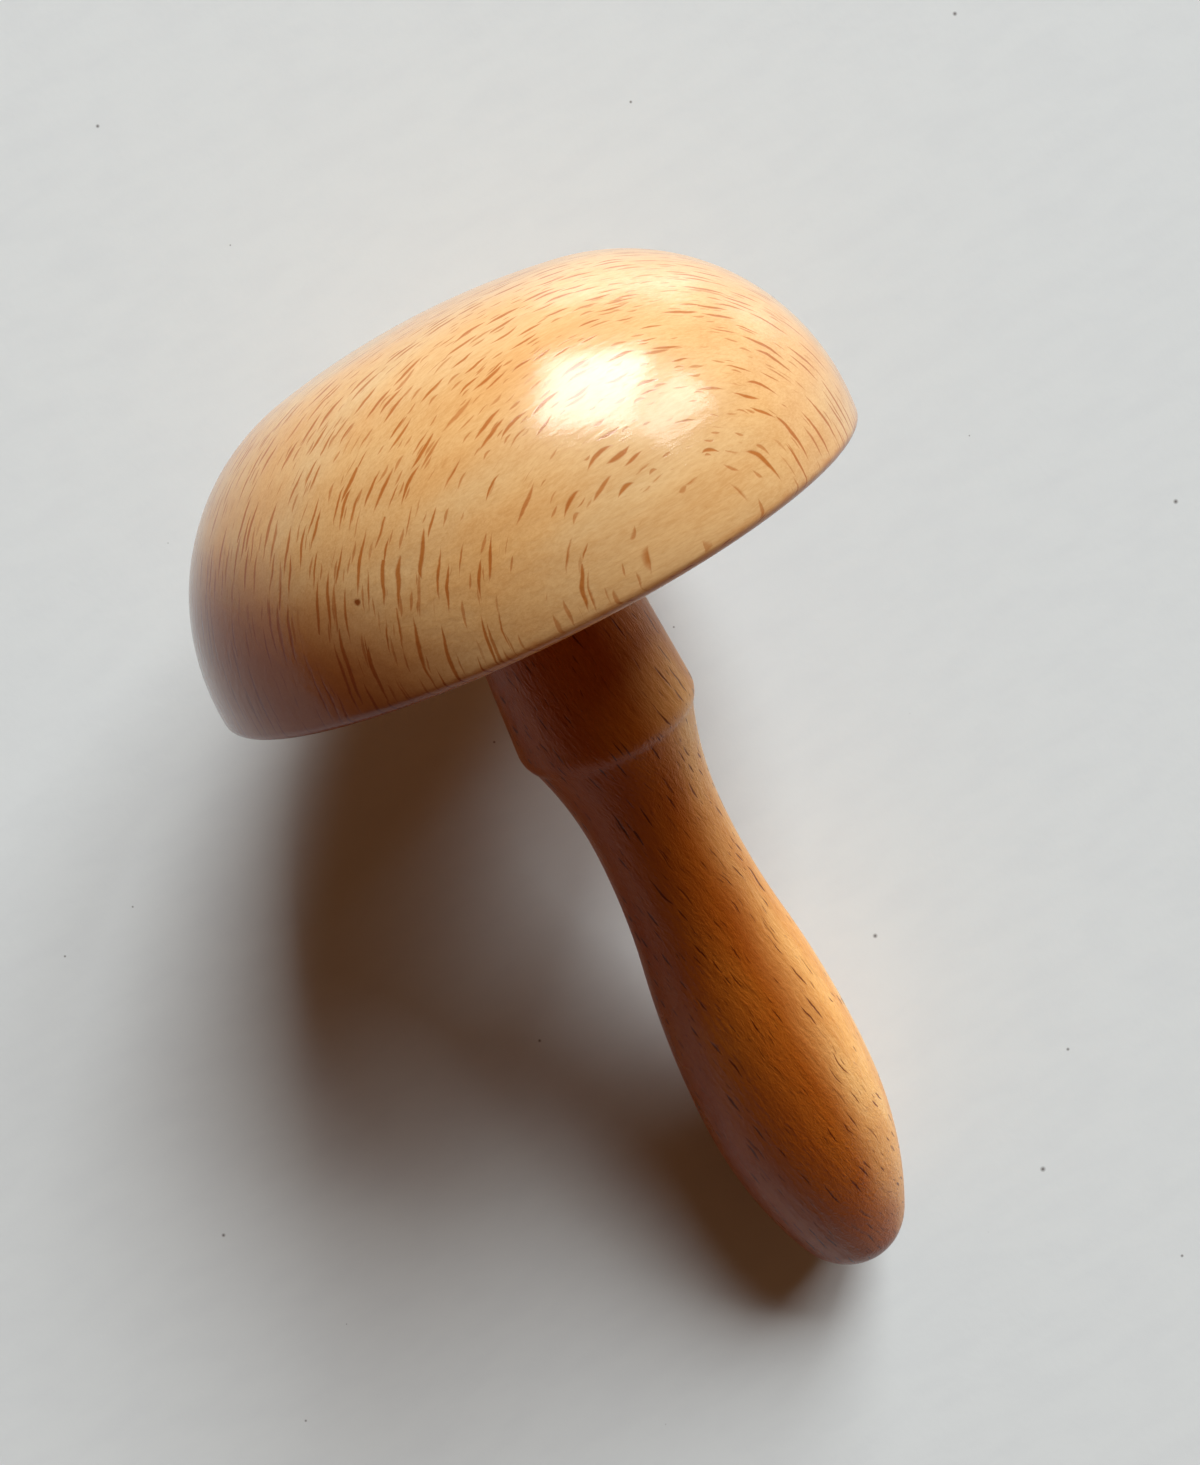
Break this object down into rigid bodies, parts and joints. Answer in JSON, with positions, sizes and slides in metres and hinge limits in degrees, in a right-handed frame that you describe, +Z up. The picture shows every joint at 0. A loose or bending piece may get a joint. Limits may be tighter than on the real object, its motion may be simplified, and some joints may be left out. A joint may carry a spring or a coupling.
{
  "type": "darning mushroom",
  "caption": "Turned wooden darning mushroom lying on its side: a domed cap that holds knitting taut from inside, glued on a waisted handle with a collar.",
  "frame": {"origin": "on the table, under the middle of the whole object as it lies on its side", "axes": "+Z up from the table, +X from the crown of the cap towards the rounded end of the handle, +Y across the cap"},
  "size_m": [0.1238, 0.07, 0.0682],
  "materials": {
    "cap_beech": "clear satin lacquer over pale beech, with ray flecks, on the cross grain",
    "handle_beech": "clear satin lacquer over redder beech, with dark pore lines along the handle"
  },
  "bodies": {
    "root": {"cap": "cap_beech", "handle": "handle_beech"}
  },
  "joints": []
}
